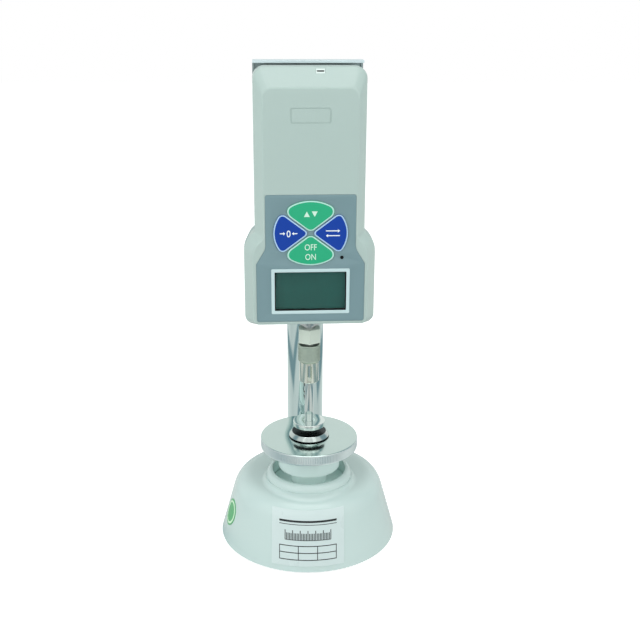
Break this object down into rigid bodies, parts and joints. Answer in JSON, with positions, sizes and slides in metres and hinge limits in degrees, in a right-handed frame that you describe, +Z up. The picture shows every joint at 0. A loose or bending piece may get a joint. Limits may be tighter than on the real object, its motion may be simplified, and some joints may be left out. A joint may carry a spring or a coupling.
{
  "type": "grain hardness tester",
  "caption": "Bench tester that crushes a grain between a screw-raised anvil and the foot of a digital force gauge held on a pillar over a round base.",
  "frame": {"origin": "centre of the round base, on the surface that the rubber feet stand on", "axes": "+Z up along the pillar; the keys and the display face -Y; +X is to the right of someone who reads the display"},
  "size_m": [0.12, 0.12, 0.3198],
  "materials": {
    "cream_paint": "glossy pale green-white enamel",
    "chrome": "mirror polished",
    "polished_steel": "polished",
    "matt_steel": "matt, knurled",
    "dark_steel": "black oxide",
    "bearing_bronze": "turned",
    "aluminium_part": "machined, satin",
    "gauge_case": "fine satin moulding",
    "panel_film": "printed film",
    "key_green": "satin rubber with a pale border",
    "key_blue": "satin rubber with a pale border",
    "pale_trim": "glossy",
    "clear_window": "clear",
    "lcd_green": "reflective display, blank",
    "dark_dot": "glossy",
    "tray_paint": "fine textured paint",
    "circuit_green": "coated board",
    "switch_black": "moulded",
    "battery_wrap": "shrink sleeve",
    "rubber_black": "matt",
    "label_film": "satin label film",
    "sticker_green": "printed sticker"
  },
  "bodies": {
    "base": {"base_plate": "dark_steel", "base_plate_screws": "polished_steel", "base_shell": "cream_paint", "battery_cells": "battery_wrap", "board_screws": "polished_steel", "chassis": "aluminium_part", "clamp_plate_screws": "dark_steel", "clamp_screws": "dark_steel", "collet": "chrome", "column": "chrome", "column_bolt": "polished_steel", "column_clamp": "aluminium_part", "column_washer": "polished_steel", "control_overlay": "panel_film", "coupling_sleeve": "matt_steel", "display_frame": "pale_trim", "display_window": "clear_window", "front_housing": "gauge_case", "gauge_shaft": "polished_steel", "gauge_tray": "tray_paint", "guide_blade": "polished_steel", "guide_blade_screws": "polished_steel", "housing_screws": "polished_steel", "indicator_led": "dark_dot", "inspection_sticker": "sticker_green", "key_switches": "switch_black", "lcd_module": "lcd_green", "lift_nut": "bearing_bronze", "lift_nut_screws": "dark_steel", "load_cell": "aluminium_part", "load_cell_bolts": "dark_steel", "lock_nut": "chrome", "main_board": "circuit_green", "pressing_foot": "chrome", "probe_rod": "chrome", "rating_label": "label_film", "rear_housing": "gauge_case", "rubber_feet": "rubber_black", "shaft_bush": "bearing_bronze", "tray_screws": "polished_steel", "usb_socket": "polished_steel"},
    "anvil": {"anvil": "chrome", "spindle_ring": "polished_steel"},
    "stage_wheel": {"stage_wheel": "chrome", "lift_screw": "polished_steel", "wheel_set_screws": "dark_steel", "thrust_bearing": "polished_steel"},
    "key_set": {"key_set": "key_green"},
    "key_zero": {"key_zero": "key_blue"},
    "key_unit": {"key_unit": "key_blue"},
    "key_power": {"key_power": "key_green"}
  },
  "joints": [
    {"name": "stage_lift", "type": "slide", "parent": "base", "child": "anvil", "axis": [0, 0, 1], "range_m": [-0.01001, 0.00401]},
    {"name": "stage_turn", "type": "hinge", "parent": "anvil", "child": "stage_wheel", "pos_m": [0, -0.012, 0.07], "axis": [0, 0, 1], "range_deg": [-1800, 720]},
    {"name": "key_set_press", "type": "slide", "parent": "base", "child": "key_set", "axis": [0, 1, 0], "range_m": [0, 0.0004], "stiffness_N_per_m": 4000},
    {"name": "key_zero_press", "type": "slide", "parent": "base", "child": "key_zero", "axis": [0, 1, 0], "range_m": [0, 0.0004], "stiffness_N_per_m": 4000},
    {"name": "key_unit_press", "type": "slide", "parent": "base", "child": "key_unit", "axis": [0, 1, 0], "range_m": [0, 0.0004], "stiffness_N_per_m": 4000},
    {"name": "key_power_press", "type": "slide", "parent": "base", "child": "key_power", "axis": [0, 1, 0], "range_m": [0, 0.0004], "stiffness_N_per_m": 4000}
  ],
  "couplings": [
    {"joint": "stage_lift", "follows": "stage_turn", "m_per_rad": 0.00031831}
  ]
}
